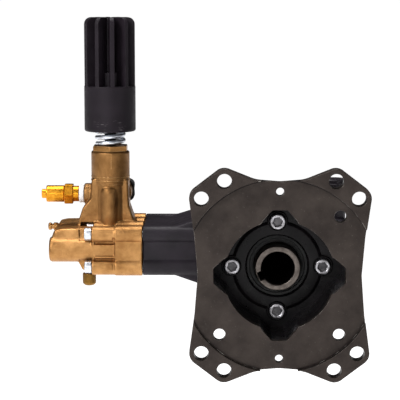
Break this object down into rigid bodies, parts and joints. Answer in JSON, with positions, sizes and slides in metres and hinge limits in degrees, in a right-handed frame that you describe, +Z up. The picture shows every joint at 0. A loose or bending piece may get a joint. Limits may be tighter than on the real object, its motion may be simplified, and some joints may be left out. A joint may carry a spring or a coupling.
{
  "type": "pressure washer pump",
  "caption": "Direct-drive triplex plunger pump with a hollow keyed shaft and four-ear engine flange, black crankcase, brass manifold and an adjustable unloader with a slotted knob.",
  "frame": {"origin": "centre of the engine mating plane, on the shaft axis", "axes": "+Y runs from the engine into the pump along the shaft, +X points away from the manifold, +Z is up"},
  "size_m": [0.2542, 0.1483, 0.2706],
  "materials": {
    "flange_metal": "machined, dark, lightly mottled",
    "case_black": "satin black paint",
    "brass_cast": "fine cast skin with machined faces",
    "zinc": "bright zinc plating",
    "steel": "turned and ground",
    "knob_black": "moulded, fine matte grain",
    "gold": "polished, orange-gold",
    "white_plastic": "plain",
    "rubber_black": "plain",
    "ceramic": "ground ceramic",
    "rod_alloy": "die cast",
    "sight_clear": "clear moulding"
  },
  "bodies": {
    "housing": {"bypass_plug": "brass_cast", "crankcase": "case_black", "drain_plug": "zinc", "engine_flange": "flange_metal", "flange_screw_1": "zinc", "flange_screw_2": "zinc", "flange_screw_3": "zinc", "flange_screw_4": "zinc", "front_bearing": "steel", "head_bolt_1": "zinc", "head_bolt_2": "zinc", "head_bolt_3": "zinc", "head_bolt_4": "zinc", "head_bolt_5": "zinc", "head_bolt_6": "zinc", "head_bolt_7": "zinc", "head_bolt_8": "zinc", "injector_barb": "brass_cast", "manifold": "brass_cast", "oil_filler_cap": "knob_black", "outlet_cap": "knob_black", "plunger_seal_1": "rubber_black", "plunger_seal_2": "rubber_black", "plunger_seal_3": "rubber_black", "rear_bearing": "steel", "rear_cover": "case_black", "rear_cover_screw_1": "zinc", "rear_cover_screw_2": "zinc", "rear_cover_screw_3": "zinc", "rear_cover_screw_4": "zinc", "relief_valve": "gold", "relief_washer": "white_plastic", "shaft_seal": "rubber_black", "sight_glass": "sight_clear", "unloader_nut": "brass_cast", "unloader_spring": "zinc", "unloader_stem": "steel"},
    "crank": {"crankshaft": "steel"},
    "adjuster": {"spring_seat": "zinc"},
    "knob": {"adjusting_knob": "knob_black"},
    "unloader_piston": {"unloader_piston": "steel"},
    "rod_1": {"connecting_rod_1": "rod_alloy", "wrist_pin_1": "steel"},
    "plunger_1": {"crosshead_1": "steel", "plunger_1": "ceramic"},
    "inlet_valve_1": {"inlet_valve_1": "steel"},
    "outlet_valve_1": {"outlet_valve_1": "steel"},
    "rod_2": {"connecting_rod_2": "rod_alloy", "wrist_pin_2": "steel"},
    "plunger_2": {"crosshead_2": "steel", "plunger_2": "ceramic"},
    "inlet_valve_2": {"inlet_valve_2": "steel"},
    "outlet_valve_2": {"outlet_valve_2": "steel"},
    "rod_3": {"connecting_rod_3": "rod_alloy", "wrist_pin_3": "steel"},
    "plunger_3": {"crosshead_3": "steel", "plunger_3": "ceramic"},
    "inlet_valve_3": {"inlet_valve_3": "steel"},
    "outlet_valve_3": {"outlet_valve_3": "steel"}
  },
  "joints": [
    {"name": "crank_turn", "type": "hinge", "parent": "housing", "child": "crank", "pos_m": [0, 0, 0], "axis": [0, 1, 0], "continuous": true},
    {"name": "rod_1_turn", "type": "hinge", "parent": "crank", "child": "rod_1", "pos_m": [0.0035, 0.073, 0], "axis": [0, 1, 0], "continuous": true},
    {"name": "plunger_1_slide", "type": "slide", "parent": "housing", "child": "plunger_1", "axis": [1, 0, 0], "range_m": [-0.007, 0]},
    {"name": "rod_2_turn", "type": "hinge", "parent": "crank", "child": "rod_2", "pos_m": [-0.00175, 0.095, 0.00303], "axis": [0, 1, 0], "continuous": true},
    {"name": "plunger_2_slide", "type": "slide", "parent": "housing", "child": "plunger_2", "axis": [1, 0, 0], "range_m": [-0.00175, 0.00525]},
    {"name": "rod_3_turn", "type": "hinge", "parent": "crank", "child": "rod_3", "pos_m": [-0.00175, 0.117, -0.00303], "axis": [0, 1, 0], "continuous": true},
    {"name": "plunger_3_slide", "type": "slide", "parent": "housing", "child": "plunger_3", "axis": [1, 0, 0], "range_m": [-0.00175, 0.00525]},
    {"name": "inlet_valve_1_lift", "type": "slide", "parent": "housing", "child": "inlet_valve_1", "axis": [1, 0, 0], "range_m": [0, 0.002], "stiffness_N_per_m": 400, "springref_m": -0.001},
    {"name": "outlet_valve_1_lift", "type": "slide", "parent": "housing", "child": "outlet_valve_1", "axis": [0, 0, 1], "range_m": [0, 0.002], "stiffness_N_per_m": 400, "springref_m": -0.001},
    {"name": "inlet_valve_2_lift", "type": "slide", "parent": "housing", "child": "inlet_valve_2", "axis": [1, 0, 0], "range_m": [0, 0.002], "stiffness_N_per_m": 400, "springref_m": -0.001},
    {"name": "outlet_valve_2_lift", "type": "slide", "parent": "housing", "child": "outlet_valve_2", "axis": [0, 0, 1], "range_m": [0, 0.002], "stiffness_N_per_m": 400, "springref_m": -0.001},
    {"name": "inlet_valve_3_lift", "type": "slide", "parent": "housing", "child": "inlet_valve_3", "axis": [1, 0, 0], "range_m": [0, 0.002], "stiffness_N_per_m": 400, "springref_m": -0.001},
    {"name": "outlet_valve_3_lift", "type": "slide", "parent": "housing", "child": "outlet_valve_3", "axis": [0, 0, 1], "range_m": [0, 0.002], "stiffness_N_per_m": 400, "springref_m": -0.001},
    {"name": "unloader_piston_lift", "type": "slide", "parent": "housing", "child": "unloader_piston", "axis": [0, 0, 1], "range_m": [0, 0.002], "stiffness_N_per_m": 900, "springref_m": -0.001},
    {"name": "adjuster_slide", "type": "slide", "parent": "housing", "child": "adjuster", "axis": [0, 0, 1], "range_m": [-0.006, 0], "deforming": ["unloader_spring"]},
    {"name": "knob_turn", "type": "hinge", "parent": "adjuster", "child": "knob", "pos_m": [-0.1316, 0.095, 0.145], "axis": [0, 0, 1], "range_deg": [-1080, 0]}
  ],
  "couplings": [
    {"joint": "rod_1_turn", "follows": "crank_turn", "ratio": -1},
    {"joint": "rod_2_turn", "follows": "crank_turn", "ratio": -1},
    {"joint": "rod_3_turn", "follows": "crank_turn", "ratio": -1},
    {"joint": "knob_turn", "follows": "adjuster_slide", "rad_per_m": 3141.6}
  ]
}
